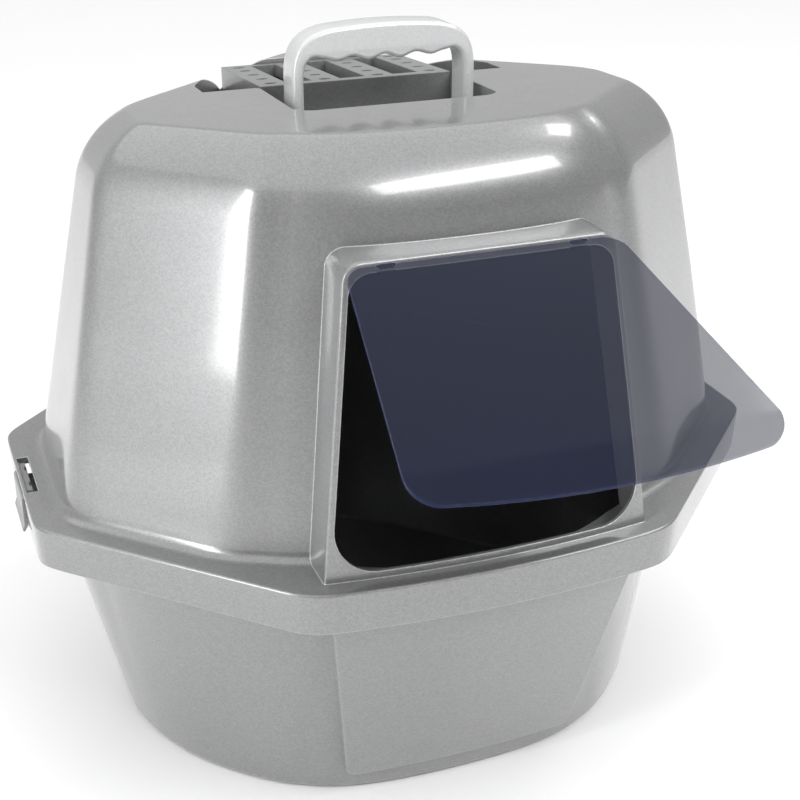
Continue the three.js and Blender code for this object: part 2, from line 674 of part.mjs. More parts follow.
function handleShape() {
  const { half, leg, foot, top, grip, shoulderX, shoulderZ, innerCurl } = HANDLE;
  const inner = half - leg;
  const under = top - grip;
  const shape = new THREE.Shape();
  shape.moveTo(-half, foot);
  shape.lineTo(-half, top - shoulderZ);
  shape.bezierCurveTo(-half, top - 12, -half + 10, top - 5, -half + shoulderX, top - 2);
  shape.quadraticCurveTo(0, top + 2, half - shoulderX, top - 2);
  shape.bezierCurveTo(half - 10, top - 5, half, top - 12, half, top - shoulderZ);
  shape.lineTo(half, foot);
  shape.lineTo(inner, foot);
  shape.lineTo(inner, under - innerCurl);
  shape.bezierCurveTo(inner, under - 4, inner - 3, under + 1, inner - 9, under + 1);
  const span = 2 * (inner - 12);
  const steps = 24;
  for (let step = 1; step < steps; step += 1) {
    const t = step / steps;
    const wave = Math.cos(2 * Math.PI * HANDLE.fingers * t);
    shape.lineTo(inner - 12 - span * t, under - HANDLE.scallop * (1 - wave) * Math.sin(Math.PI * t) ** 0.3);
  }
  shape.bezierCurveTo(-inner + 5, under + 1, -inner, under - 4, -inner, under - innerCurl);
  shape.lineTo(-inner, foot);
  shape.closePath();
  return raised(shape);
}

function makeHandle() {
  const { y, half, leg, depth, foot, top, round, roundIn } = HANDLE;
  const bevel = { bevelThickness: round, bevelSize: roundIn, bevelOffset: -roundIn, bevelSegments: 2 };
  const [front, back] = [y - depth / 2 + round, y + depth / 2 - round];
  const loop = plateAlongY(handleShape(), front, back, { bevelEnabled: true, ...bevel });
  const grooves = BOTH.flatMap((side) => BOTH.map((row) => {
    const [y0, y1] = [-GROOVE.width, GROOVE.width].map((width) => y + (row * GROOVE.apart + width) / 2);
    const [z0, z1] = [RIM_Z + foot - 1, RIM_Z + top - GROOVE.below];
    return sideBox(side, half - GROOVE.deep, half + 1, y0, y1, z0, z1);
  }));
  const stops = BOTH.map((side) => {
    const x = half - leg / 2;
    const z = RIM_Z + foot;
    const reach = depth / 2 + STOP.proud;
    return sideBox(side, x - STOP.half, x + STOP.half, y - reach, y + reach, z, z + STOP.height);
  });
  return join(cut(loop, ...grooves), ...stops);
}

// ---- Vent cover and filter ----------------------------------------------------------------------------

// Everything under the vent cover's sloping top plane.
function underVentTop(body) {
  const far = 200;
  const z = (y) => RIM_Z + VENT.frontZ - VENT.fall * (y - VENT.frontY);
  const shape = new THREE.Shape();
  shape.moveTo(-far, z(-far));
  shape.lineTo(far, z(far));
  shape.lineTo(far, z(far) + 300);
  shape.lineTo(-far, z(far) + 300);
  const geometry = new THREE.ExtrudeGeometry(shape, { depth: 2 * far, bevelEnabled: false });
  geometry.translate(0, 0, -far);
  geometry.rotateX(Math.PI / 2);
  geometry.rotateZ(Math.PI / 2);
  return cut(body, solid(geometry));
}

function makeVentCover() {
  const { half, frontY, backY, wall, thick } = VENT;
  const floor = RIM_Z + POCKET.floorZ + GAP;
  const outside = underVentTop(box(-half, half, frontY, backY, floor, RIM_Z + ROOF_Z + 20));
  const inside = outside.translate([0, 0, -thick]).intersect(
    box(-half + wall, half - wall, frontY + wall, backY - wall, floor - 20, RIM_Z + ROOF_Z),
  );
  const slotHalf = (BAR_X[1] - BAR_X[0] - VENT.bar) / 2;
  const slots = BAR_X.slice(1).map((x, i) => {
    const middle = (x + BAR_X[i]) / 2;
    const [x0, x1] = [middle - slotHalf, middle + slotHalf];
    return box(x0, x1, VENT.slotFrontY, VENT.slotBackY, floor, RIM_Z + ROOF_Z + 20);
  });
  const ovals = BAR_X.flatMap((x) => OVAL_Y.map((y) => {
    const geometry = new THREE.CylinderGeometry(1, 1, 60, 12);
    geometry.rotateX(Math.PI / 2);
    geometry.scale(VENT.ovalHalfX, VENT.ovalHalfY, 1);
    geometry.translate(x, y, RIM_Z + ROOF_Z - 10);
    return solid(geometry);
  }));
  return cut(outside, inside, ...slots, ...ovals);
}

function makeFilter() {
  const { half, frontY, backY, wall } = VENT;
  const room = wall + FILTER_GAP;
  const low = RIM_Z + POCKET.floorZ + GAP;
  return box(room - half, half - room, frontY + room, backY - room, low, low + FILTER_THICKNESS);
}

// ---- Latches ------------------------------------------------------------------------------------------

function latchShape() {
  const corners = [...TONGUE, ...ARM_OUTSIDE, ...CATCH, ...ARM_INSIDE];
  return new THREE.Shape(corners.map(([x, z]) => new THREE.Vector2(x, z)));
}

function makeLatch(side) {
  const { x, z, pin } = LATCH_PIVOT;
  const [y0, y1] = [LATCH.y - LATCH.length / 2, LATCH.y + LATCH.length / 2];
  const plate = plateAlongY(latchShape(), y0, y1).translate([x, 0, z]);
  const pins = rodAlongY(pin, y0 - LATCH.ear + 0.5, y1 + LATCH.ear - 0.5, x, z, 16);
  const notches = BOTH.map((end) => {
    const middle = LATCH.y + (end * TONGUE_NOTCH.apart) / 2;
    const half = TONGUE_NOTCH.width / 2;
    const [x0, x1] = [x + TONGUE_NOTCH.x0, x + TONGUE_NOTCH.x1];
    return box(x0, x1, middle - half, middle + half, z + TONGUE_NOTCH.z0, RIM_Z);
  });
  const latch = cut(join(plate, pins), ...notches);
  return side > 0 ? latch : latch.mirror([1, 0, 0]);
}

// ---- Assembly -----------------------------------------------------------------------------------------

const SILVER = { color: 0x9c9d9e, roughness: 0.32, metalness: 0.45 };
const PEARL = { color: 0xe4e5e6, roughness: 0.3, metalness: 0.2 };
const GREY = { color: 0x7f8183, roughness: 0.45, metalness: 0.2 };
const SMOKE = { color: 0x3c4258, roughness: 0.12, metalness: 0, transparent: true, opacity: 0.55 };
const CARBON = { color: 0x1b1b1c, roughness: 0.95, metalness: 0 };

const litterBox = new THREE.Group();

function place(name, body, look) {
  const mesh = new THREE.Mesh(toGeometry(body), new THREE.MeshStandardMaterial(look));
  mesh.name = name;
  litterBox.add(mesh);
}

place("pan", makePan(), SILVER);
place("hood", makeHood(), SILVER);
place("door_flap", makeFlap(), SMOKE);
place("carry_handle", makeHandle(), PEARL);
place("vent_cover", makeVentCover(), GREY);
place("filter_pad", makeFilter(), CARBON);
place("latch_left", makeLatch(-1), GREY);
place("latch_right", makeLatch(1), GREY);

export default litterBox;
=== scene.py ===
"""A hooded cat litter box for the corner of a room, on a pale studio floor.

The pan, hood, flap, handle and filter are fine meshes that stand for the coarser CAD nodes. The vent cover
and the latches are the CAD nodes themselves. Shapes are worked out in millimetres and stored in metres.
"""
import math

import bmesh
import bpy
import numpy as np
from mathutils import Matrix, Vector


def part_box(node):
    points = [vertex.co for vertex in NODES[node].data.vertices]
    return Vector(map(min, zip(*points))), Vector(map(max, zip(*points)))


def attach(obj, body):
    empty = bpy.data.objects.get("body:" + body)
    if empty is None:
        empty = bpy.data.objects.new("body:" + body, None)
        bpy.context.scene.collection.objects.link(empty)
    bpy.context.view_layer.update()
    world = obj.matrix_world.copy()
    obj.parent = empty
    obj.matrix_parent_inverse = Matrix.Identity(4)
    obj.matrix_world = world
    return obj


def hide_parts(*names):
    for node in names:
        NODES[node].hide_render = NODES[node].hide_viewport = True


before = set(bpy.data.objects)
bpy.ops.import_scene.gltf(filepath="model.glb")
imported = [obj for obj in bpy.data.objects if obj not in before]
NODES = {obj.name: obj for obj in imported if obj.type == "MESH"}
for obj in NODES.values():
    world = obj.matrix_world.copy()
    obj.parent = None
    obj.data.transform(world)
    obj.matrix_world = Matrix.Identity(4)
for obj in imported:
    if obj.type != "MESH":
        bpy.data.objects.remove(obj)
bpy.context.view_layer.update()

# ---- Driving dimensions, in millimetres -----------------------------------------------------------------
# Most are those of the CAD part. SHELF is only here, and WING_SLOT stands about 2 mm from the CAD's slots.

MM = 0.001
WALL = 2.6
CLEARANCE = 0.4
RIM_Z = 208.0
SKIRT = 29.0
EDGE = 1.6
SKIRT_FOOT = [(2.2, 0), (1.2, 0.6)]  # how far in and how far up each ring of the skirt's foot is
RIM = [241.8, 258.7, 267.5, 226.6, 258.4]
RIM_BOW = 9.5
RIM_CORNERS = [70, 80, 80, 15]
HOOD = [210, 245.7, 252.9, 211, 241]
HOOD_BOW = 8
HOOD_LEAN = [0.14, 0.198, 0.191, 0.241, 0.154]
HOOD_FOOT = 6
SHOULDER_Z = 206.6
SHOULDER_RADIUS = 63.4
SHOULDER_TURN = (10, 61)
DOME_CORNERS_LOW = [13, 35, 24, 20]
DOME_CORNERS_HIGH = [13, 110, 24, 20]
DOME_CRISP = 120
DOME_HEIGHTS = (20, 195, 10)
ROOF_ROUND = 14
ROOF_FALL = 0.04
ROOF_Z = 251
WIDEST_Y = -100
PAN = [226, 229, 250, 208.6, 240.4]
PAN_BOW = 7.5
PAN_LEAN = [0.285, 0.155, 0.244, 0.2, 0.2]
PAN_CORNERS_LOW = [12.7, 9, 12, 12]
PAN_CORNERS_HIGH = [7.2, 6.4, 12, 12]
PAN_ROUND = 6
PAN_TOP = RIM_Z - WALL - CLEARANCE
LIP = dict(depth=18, outside=(4.2, 3.6, 4.6), inside=(6.4, 5.8))
PAD = dict(bottom=21, top=184, bottom_half=86, top_half=107, corner=8, proud=4, root=1.2, rounding=1.8)
SURROUND = dict(bottom_half=111.5, top_half=88, height=196, corner=13, back=-150, rounding=2.0)
OPENING = dict(bottom=4.4, top=189, bottom_half=106.6, top_half=84.8, low_corner=27, high_corner=15)
FACE_LEAN = 0.117
FACE_TOP_Y = -208
FACE_BOW = 8
HINGE = dict(y=-206.8, z=RIM_Z + 190.2, x=62, bar=1.2, length=12, bar_overlap=1)
HINGE_WINDOW = dict(front=12, back=9, below=5, above=3.2)
FLAP = dict(
    thickness=2.2, offset=3, top=1.1, top_half=88, bottom_half=112,
    length=178, bow=9.5, lip=15, bend=0.23,
)
FLAP_CORNERS = dict(high=12, low=18)
FLAP_OPEN = 70
HOOK = dict(inner=1.6, outer=2.9, half=4.0, start=-0.6, end=4.1)
POCKET = dict(
    half=72, front=-70, corner=14, seat_half=72.5, seat=18, back=132.5,
    floor=205, wing_half=112, wing=20, wing_depth=26,
)
FLOOR_CUT = dict(below=12, above=5)
WING_SLOT = dict(half=11, front=6, back=42)
FILTER_SLOT = dict(half=14, margin=12)
HANDLE = dict(
    y=-27, half=65, leg=8, depth=25, top=298, grip=21, foot=191.6,
    arch=2, fingers=4, scallop=1.6, finger_margin=12, rounding=3.4,
)
HANDLE_CORNER = [(0, -34), (0, -12), (10, -5), (26, -2)]  # from the handle's left side and top
GRIP_CORNER = [(0, -16), (0, -4), (-3, 1), (-9, 1)]  # from a leg's inner side and the grip's underside
VENT = dict(front=20, back=131)
BAR_X = [-60, -20, 20, 60]
LATCH = dict(y=-19, length=43, window_length=55, window_in=257.6, window_out=265.5)
LATCH_CUT = dict(side=1.5, below=5, above=1, past=2)
LATCH_NOTCH = dict(side=6.5, inwards=1, outwards=2, below=14, above=1)
SHELF = dict(side=20, inner=248, outer=262, bottom=20, top=17.5)
ABOVE_ROOF = 40
DOORWAY_CUT = dict(front=60, back=90)
FLOOR_REACH = 6000
PER_SIDE = 34


# ---- Outlines seen from above ---------------------------------------------------------------------------

SIDE_ORDER = [0, 1, 2, 3, 4, 3, 2, 1]
CORNER_ORDER = [0, 1, 2, 3, 3, 2, 1, 0]
NORMALS = np.array([[math.cos(a), math.sin(a)] for a in (-math.pi / 2 + i * math.pi / 4 for i in range(8))])


def corner_angle(i, reach):
    j = (i + 1) % 8
    one, other = NORMALS[i], NORMALS[j]
    cross = one[0] * other[1] - one[1] * other[0]
    x = (reach[i] * other[1] - reach[j] * one[1]) / cross
    y = (reach[j] * one[0] - reach[i] * other[0]) / cross
    return math.atan2(y, x)


def outline(sides, sharpness, bow, z, per_side=PER_SIDE):
    """The points of a soft eight-sided outline: the larger a corner's sharpness, the smaller its radius."""
    reach = np.array([sides[k] for k in SIDE_ORDER], float)
    corners = [corner_angle(i, reach) for i in range(8)]
    rows = []
    for i in range(8):
        following = (i + 1) % 8
        span = (corners[following] - corners[i] + 4 * math.pi) % (2 * math.pi)
        t = np.arange(per_side) / per_side
        eased = t - 0.7 * np.sin(2 * math.pi * t) / (2 * math.pi)
        angle = corners[i] + span * eased
        direction = np.stack([np.cos(angle), np.sin(angle)], 1)
        mix = np.clip((t - 0.2) / 0.6, 0, 1)
        mix = mix * mix * (3 - 2 * mix)
        power = sharpness[CORNER_ORDER[i]] * (1 - mix) + sharpness[CORNER_ORDER[following]] * mix
        share = np.maximum(0, direction @ NORMALS.T / reach) * 100
        radius = 100 * (share ** power[:, None]).sum(1) ** (-1 / power)
        rows.append(direction * radius[:, None])
    points = np.concatenate(rows)
    half = sides[1] * math.sqrt(2) - sides[0]
    across = np.minimum(1, np.abs(points[:, 0]) / half)
    points[:, 1] -= np.where(points[:, 1] < 0, bow * (1 - across * across), 0)
    return np.column_stack([points, np.full(len(points), float(z))])


def inset(sides, amounts):
    amounts = np.broadcast_to(np.asarray(amounts, float), (5,))
    return [side - amount for side, amount in zip(sides, amounts)]


# ---- Mesh tools -----------------------------------------------------------------------------------------

def new_object(name, points, faces):
    mesh = bpy.data.meshes.new(name)
    mesh.from_pydata([tuple(np.asarray(p) * MM) for p in points], [], faces)
    mesh.validate()
    obj = bpy.data.objects.new(name, mesh)
    bpy.context.scene.collection.objects.link(obj)
    return obj


def loft(name, rings):
    """A closed skin through rings that all have the same count of points, from the lowest to the highest."""
    count = len(rings[0])
    faces = []
    for level in range(len(rings) - 1):
        for i in range(count):
            a = level * count + i
            b = level * count + (i + 1) % count
            faces.append((a, b, b + count, a + count))
    faces.append(tuple(reversed(range(count))))
    last = (len(rings) - 1) * count
    faces.append(tuple(range(last, last + count)))
    return new_object(name, np.concatenate(rings), faces)


def prism(name, outline_points, low, high):
    """A prism along Z over a flat outline of (x, y) points."""
    flat = np.asarray(outline_points, float)
    rings = [np.column_stack([flat, np.full(len(flat), z)]) for z in (low, high)]
    return loft(name, rings)


def prism_y(name, outline_points, y_low, y_high):
    """A prism along Y over a flat outline of (x, z) points, given anticlockwise as seen from the front."""
    flat = np.asarray(outline_points, float)
    rings = [np.column_stack([flat[:, 0], np.full(len(flat), y), flat[:, 1]]) for y in (y_high, y_low)]
    return loft(name, rings)


def block(name, x0, x1, y0, y1, z0, z1):
    return prism(name, [(x0, y0), (x1, y0), (x1, y1), (x0, y1)], z0, z1)


def rod_x(name, radius, x0, x1, y, z, sides=32):
    turns = [2 * math.pi * i / sides for i in range(sides)]
    rings = [[(x, y + radius * math.cos(a), z + radius * math.sin(a)) for a in turns] for x in (x0, x1)]
    return loft(name, [np.array(ring) for ring in rings])


def solid_ready(obj):
    """Turns the faces outwards, whichever way the rings ran, and makes triangles of the large ones."""
    work = bmesh.new()
    work.from_mesh(obj.data)
    bmesh.ops.recalc_face_normals(work, faces=work.faces)
    bmesh.ops.triangulate(work, faces=[f for f in work.faces if len(f.verts) > 4])
    work.to_mesh(obj.data)
    work.free()
    return obj


def combine(body, tools, operation):
    """Joins tools to a body, or cuts them from it, and removes the tools."""
    for tool in [body, *tools]:
        solid_ready(tool)
    for tool in tools:
        modifier = body.modifiers.new("combine", "BOOLEAN")
        modifier.operation = operation
        modifier.solver = "MANIFOLD"
        modifier.object = tool
    graph = bpy.context.evaluated_depsgraph_get()
    mesh = bpy.data.meshes.new_from_object(body.evaluated_get(graph), depsgraph=graph)
    body.modifiers.clear()
    old = body.data
    body.data = mesh
    bpy.data.meshes.remove(old)
    for tool in tools:
        bpy.data.objects.remove(tool)
    return body


def smooth(obj, degrees=32):
    obj.data.shade_smooth()
    obj.data.set_sharp_from_angle(angle=math.radians(degrees))
    return obj


def dress(obj, material, body, slot_name, *nodes):
    """Gives a finished piece its material and body, and hides the CAD nodes that it stands for; slot_name is
    not used.
    """
    obj.data.materials.clear()
    obj.data.materials.append(material)
    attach(obj, body)
    if nodes:
        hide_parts(*nodes)
    return obj


# ---- Materials ------------------------------------------------------------------------------------------

def shader(name):
    material = bpy.data.materials.new(name)
    material.use_nodes = True
    tree = material.node_tree
    return material, tree, tree.nodes["Principled BSDF"]


def node(tree, kind, **values):
    made = tree.nodes.new(kind)
    for key, value in values.items():
        if key in made.inputs:
            made.inputs[key].default_value = value
        else:
            setattr(made, key, value)
    return made


def noise(tree, coordinates, scale, detail=2.0):
    made = node(tree, "ShaderNodeTexNoise", Scale=scale, Detail=detail)
    tree.links.new(coordinates, made.inputs["Vector"])
    return made.outputs["Fac"]


def spread(tree, value, low, high, from_low=0.3, from_high=0.7):
    """A value stretched to run from low to high. Noise is mostly between 0.3 and 0.7."""
    made = node(tree, "ShaderNodeMapRange")
    made.inputs["From Min"].default_value = from_low
    made.inputs["From Max"].default_value = from_high
    made.inputs["To Min"].default_value = low
    made.inputs["To Max"].default_value = high
    tree.links.new(value, made.inputs["Value"])
    return made.outputs["Result"]


def scaled_colour(tree, colour, *factors):
    """A colour multiplied by several varying factors."""
    result = None
    for factor in factors:
        step = node(tree, "ShaderNodeVectorMath", operation="MULTIPLY")
        if result is None:
            step.inputs[0].default_value = colour
        else:
            tree.links.new(result, step.inputs[0])
        tree.links.new(factor, step.inputs[1])
        result = step.outputs["Vector"]
    return result


def painted_edge_highlight(tree, rounded, brightest):
    """1 on flat faces, rising to the brightest value along edges.

    The photograph has bright lines there that the lights alone did not give, so they are painted.
    """
    face = node(tree, "ShaderNodeNewGeometry")
    dot = node(tree, "ShaderNodeVectorMath", operation="DOT_PRODUCT")
    tree.links.new(rounded.outputs["Normal"], dot.inputs[0])
    tree.links.new(face.outputs["Normal"], dot.inputs[1])
    return spread(tree, dot.outputs["Value"], brightest, 1.0, 0.8, 0.985)


def plastic(name, colour, roughness, metallic, coat, flake, edge=1.0, glow=1.0, grain=0.00003):
    """Moulded plastic with fine flakes, faint clouds and handling marks, softly rounded edges and a painted
    highlight along them.
    """
    material, tree, principled = shader(name)
    position = node(tree, "ShaderNodeTexCoord").outputs["Object"]
    cells = node(tree, "ShaderNodeTexVoronoi", Scale=1100.0)
    tree.links.new(position, cells.inputs["Vector"])
    split = node(tree, "ShaderNodeSeparateColor")
    tree.links.new(cells.outputs["Color"], split.inputs["Color"])
    sparkle = spread(tree, split.outputs["Red"], 1 - flake, 1 + flake, 0.0, 1.0)
    clouds = spread(tree, noise(tree, position, 6.0, 2.0), 0.985, 1.015)
    rounded = node(tree, "ShaderNodeBevel", samples=6)
    rounded.inputs["Radius"].default_value = edge * MM
    # painted highlight: along the edges the base colour is brightened, up to glow times; glow 1 leaves it as
    # it is
    painted_highlight = painted_edge_highlight(tree, rounded, glow)
    tree.links.new(scaled_colour(tree, colour, sparkle, clouds, painted_highlight), principled.inputs["Base Color"])
    marks = spread(tree, noise(tree, position, 35.0, 3.0), roughness * 0.94, roughness * 1.07)
    tree.links.new(marks, principled.inputs["Roughness"])
    principled.inputs["Metallic"].default_value = metallic
    principled.inputs["Coat Weight"].default_value = coat
    principled.inputs["Coat Roughness"].default_value = 0.08
    bump = node(tree, "ShaderNodeBump", Strength=0.35, Distance=grain)
    tree.links.new(noise(tree, position, 900.0, 2.0), bump.inputs["Height"])
    tree.links.new(rounded.outputs["Normal"], bump.inputs["Normal"])
    tree.links.new(bump.outputs["Normal"], principled.inputs["Normal"])
    return material


def smoked(name):
    """See-through blue-grey sheet with a polished surface, faint dust and a painted highlight along its
    edges.
    """
    material, tree, principled = shader(name)
    position = node(tree, "ShaderNodeTexCoord").outputs["Object"]
    clouds = spread(tree, noise(tree, position, 11.0, 2.0), 0.92, 1.08)
    rounded = node(tree, "ShaderNodeBevel", samples=6)
    rounded.inputs["Radius"].default_value = 0.8 * MM
    # painted highlight: along the flap's edges the tint is brightened up to nine times
    painted_highlight = painted_edge_highlight(tree, rounded, 9.0)
    tint = scaled_colour(tree, (0.005, 0.009, 0.034), clouds, painted_highlight)
    tree.links.new(tint, principled.inputs["Base Color"])
    dust = spread(tree, noise(tree, position, 50.0, 2.0), 0.08, 0.11)
    tree.links.new(dust, principled.inputs["Roughness"])
    principled.inputs["Alpha"].default_value = 0.5
    principled.inputs["Specular IOR Level"].default_value = 0.3
    bump = node(tree, "ShaderNodeBump", Strength=0.05, Distance=0.00004)
    tree.links.new(noise(tree, position, 12.0, 0.0), bump.inputs["Height"])
    tree.links.new(bump.outputs["Normal"], principled.inputs["Normal"])
    return material


def foam(name):
    """Open carbon foam: black, matt and full of small pores, with painted shade in the pores."""
    material, tree, principled = shader(name)
    position = node(tree, "ShaderNodeTexCoord").outputs["Object"]
    pores = node(tree, "ShaderNodeTexVoronoi", Scale=420.0)
    tree.links.new(position, pores.inputs["Vector"])
    # painted shade: the colour runs from dark at the bottom of each pore to lighter on the ridges, following
    # the pore depth that also drives the bump
    depth = spread(tree, pores.outputs["Distance"], 0.35, 1.4, 0.0, 0.8)
    tree.links.new(scaled_colour(tree, (0.03, 0.03, 0.032), depth), principled.inputs["Base Color"])
    principled.inputs["Roughness"].default_value = 0.95
    bump = node(tree, "ShaderNodeBump", Strength=0.9, Distance=0.0012)
    tree.links.new(pores.outputs["Distance"], bump.inputs["Height"])
    tree.links.new(bump.outputs["Normal"], principled.inputs["Normal"])
    return material


# The silver's edges get a painted highlight up to three times its colour; pearl and grey keep glow 1 and get
# none.
SILVER = plastic("silver_flake", (0.255, 0.257, 0.26), 0.3, 0.4, 1.0, 0.12, 1.3, 3.0)
PEARL = plastic("pearl_white", (0.66, 0.665, 0.67), 0.26, 0.1, 0.5, 0.05, 0.8)
GREY = plastic("mid_grey", (0.24, 0.242, 0.245), 0.38, 0.15, 0.25, 0.12, 0.9)
SMOKE = smoked("smoked_blue")
FOAM = foam("carbon_foam")


# ---- Hood -----------------------------------------------------------------------------------------------

def dome_ring(height, extra, skin):
    lean = np.array(HOOD_LEAN) * min(height, SHOULDER_Z) + extra + skin
    crisp = min(1.0, max(0.0, height / DOME_CRISP))
    sharpness = [low + (high - low) * crisp for low, high in zip(DOME_CORNERS_LOW, DOME_CORNERS_HIGH)]
    ring = outline(inset(HOOD, lean), sharpness, HOOD_BOW, 0)
    fall = 1 - ROOF_FALL * (ring[:, 1] - WIDEST_Y) / ROOF_Z
    ring[:, 2] = RIM_Z + height * fall
    return ring


def dome(name, skin):
    rings = []
    if skin > 0:
        rings.append(dome_ring(-2 * WALL, HOOD_FOOT, skin))
    else:
        rings.append(dome_ring(-1, 0, skin))
        for turn in np.linspace(0, math.pi / 2, 8):
            rise = HOOD_FOOT * (1 - math.cos(turn)) + 0.01
            rings.append(dome_ring(rise, HOOD_FOOT * math.sin(turn), skin))
    for height in np.linspace(*DOME_HEIGHTS):
        rings.append(dome_ring(height, HOOD_FOOT, skin))
    start, end = (math.radians(a) for a in SHOULDER_TURN)
    radius = SHOULDER_RADIUS - skin
    height, extra = SHOULDER_Z, HOOD_FOOT
    for turn in np.linspace(start, end, 22):
        height = SHOULDER_Z + radius * (math.sin(turn) - math.sin(start))
        extra = HOOD_FOOT + radius * (math.cos(start) - math.cos(turn))
        rings.append(dome_ring(height, extra, skin))
    for turn in np.linspace(end, math.pi / 2, 8)[1:]:
        rise = height + ROOF_ROUND * (math.sin(turn) - math.sin(end))
        reach = extra + ROOF_ROUND * (math.cos(end) - math.cos(turn))
        rings.append(dome_ring(rise, reach, skin))
    return loft(name, rings)


def ledge_outside():
    rings = [
        outline(inset(RIM, away), RIM_CORNERS, RIM_BOW, RIM_Z - SKIRT + rise)
        for away, rise in SKIRT_FOOT
    ]
    for turn in np.linspace(0, math.pi / 2, 7):
        away = EDGE * (1 - math.cos(turn))
        rings.append(outline(inset(RIM, away), RIM_CORNERS, RIM_BOW, RIM_Z - EDGE * (1 - math.sin(turn))))
    return loft("ledge", rings)


def ledge_inside():
    low = outline(inset(RIM, WALL + 1), RIM_CORNERS, RIM_BOW, RIM_Z - SKIRT - 1)
    high = outline(inset(RIM, WALL), RIM_CORNERS, RIM_BOW, RIM_Z - WALL)
    return loft("ledge_inside", [low, high])


def face_y(x, height):
    up = height / OPENING["top"]
    across = x / SURROUND["bottom_half"]
    bulge = FACE_BOW * max(0.0, 1 - up) * (1 - across * across)
    return FACE_TOP_Y - FACE_LEAN * (OPENING["top"] - height) - bulge


def arc(x, z, radius, start, end, steps=14):
    return [(x + radius * math.cos(a), z + radius * math.sin(a)) for a in np.linspace(start, end, steps)]


def door_outline(bottom, top, bottom_half, top_half, low_corner, high_corner):
    """A trapezoid in X and height, wider at the bottom, anticlockwise from the lower right corner."""
    slope = (bottom_half - top_half) / (top - bottom)
    lean = math.atan(slope)
    low_run = low_corner * math.tan(math.pi / 4 + lean / 2)
    high_run = high_corner * math.tan(math.pi / 4 - lean / 2)
    right = []
    if low_corner > 0:
        right += arc(bottom_half - low_run, bottom + low_corner, low_corner, -math.pi / 2, lean)
    else:
        right.append((bottom_half, bottom))
    right += arc(top_half - high_run, top - high_corner, high_corner, lean, math.pi / 2)
    left = [(-x, z) for x, z in reversed(right)]
    return right + left


def divided(points, longest):
    """A closed outline with its long straight stretches divided into shorter ones."""
    result = []
    for one, other in zip(points, points[1:] + points[:1]):
        pieces = max(1, math.ceil(math.dist(one, other) / longest))
        for step in range(pieces):
            t = step / pieces
            result.append((one[0] + (other[0] - one[0]) * t, one[1] + (other[1] - one[1]) * t))
    return result


def surround(name, skin):
    def edge(shrink):
        return divided(door_outline(
            -2 * WALL if skin > 0 else -1,
            SURROUND["height"] - skin - shrink,
            SURROUND["bottom_half"] - skin - shrink,
            SURROUND["top_half"] - skin - shrink,
            0,
            SURROUND["corner"] - skin - shrink,
        ), 12)

    flat = edge(0)
    rings = [np.array([(x, SURROUND["back"], RIM_Z + z) for x, z in flat])]
    if skin > 0:
        rings.append(np.array([(x, face_y(x, z) + skin, RIM_Z + z) for x, z in flat]))
        return loft(name, rings)
    rounding = SURROUND["rounding"]
    for turn in np.linspace(0, math.pi / 2, 6):
        ring = edge(rounding * (1 - math.cos(turn)))
        back = rounding * (1 - math.sin(turn))
        rings.append(np.array([(x, face_y(x, z) + back, RIM_Z + z) for x, z in ring]))
    return loft(name, rings)


def pocket_outline(grow):
    corner = POCKET["corner"]
    front = POCKET["front"] - grow
    half, seat, wing = (POCKET[k] + grow for k in ("half", "seat_half", "wing_half"))
    right = arc(half - corner, front + corner, corner, -math.pi / 2, 0, 10)
    right += [
        (half, POCKET["seat"]),
        (seat, POCKET["seat"]),
        (seat + 2, POCKET["wing"] - grow),
        (wing, POCKET["wing"] - grow),
        (wing, POCKET["wing"] + POCKET["wing_depth"]),
        (seat, POCKET["back"] + grow),
    ]
    return right + [(-x, y) for x, y in reversed(right)]


def floor_cuts():
    low = RIM_Z + POCKET["floor"] - FLOOR_CUT["below"]
    high = RIM_Z + POCKET["floor"] + FLOOR_CUT["above"]
    cuts = []
    for side in (-1, 1):
        x = side * (HANDLE["half"] - HANDLE["leg"] / 2)
        half_x, half_y = HANDLE["leg"] / 2 + CLEARANCE, HANDLE["depth"] / 2 + CLEARANCE
        y0, y1 = HANDLE["y"] - half_y, HANDLE["y"] + half_y
        cuts.append(block("leg_slot", x - half_x, x + half_x, y0, y1, low, high))
        wing_x = side * (POCKET["seat_half"] + POCKET["wing_half"]) / 2
        x0, x1 = wing_x - WING_SLOT["half"], wing_x + WING_SLOT["half"]
        y0, y1 = POCKET["wing"] + WING_SLOT["front"], POCKET["wing"] + WING_SLOT["back"]
        cuts.append(block("wing_slot", x0, x1, y0, y1, low, high))
    for x in BAR_X:
        x0, x1 = x - FILTER_SLOT["half"], x + FILTER_SLOT["half"]
        y0, y1 = VENT["front"] + FILTER_SLOT["margin"], VENT["back"] - FILTER_SLOT["margin"]
        cuts.append(block("filter_slot", x0, x1, y0, y1, low, high))
    return cuts


def hinge_windows():
    half = HINGE["length"] / 2
    return [
        block("hinge_window", side * HINGE["x"] - half, side * HINGE["x"] + half,
              HINGE["y"] - HINGE_WINDOW["front"], HINGE["y"] + HINGE_WINDOW["back"],
              HINGE["z"] - HINGE_WINDOW["below"], HINGE["z"] + HINGE_WINDOW["above"])
        for side in (-1, 1)
    ]


def latch_cuts():
    cuts = []
    half_window, half_gate = LATCH["window_length"] / 2, LATCH["length"] / 2 + LATCH_CUT["side"]
    for side in (-1, 1):
        x0, x1 = sorted((side * LATCH["window_in"], side * LATCH["window_out"]))
        cuts.append(block("latch_window", x0, x1, LATCH["y"] - half_window, LATCH["y"] + half_window,
                          RIM_Z - LATCH_CUT["below"], RIM_Z + LATCH_CUT["above"]))
        x0, x1 = sorted((side * (RIM[2] - WALL - LATCH_CUT["past"]), side * (RIM[2] + LATCH_CUT["past"])))
        cuts.append(block("latch_gate", x0, x1, LATCH["y"] - half_gate, LATCH["y"] + half_gate,
                          RIM_Z - SKIRT - LATCH_CUT["below"], RIM_Z - WALL))
    return cuts


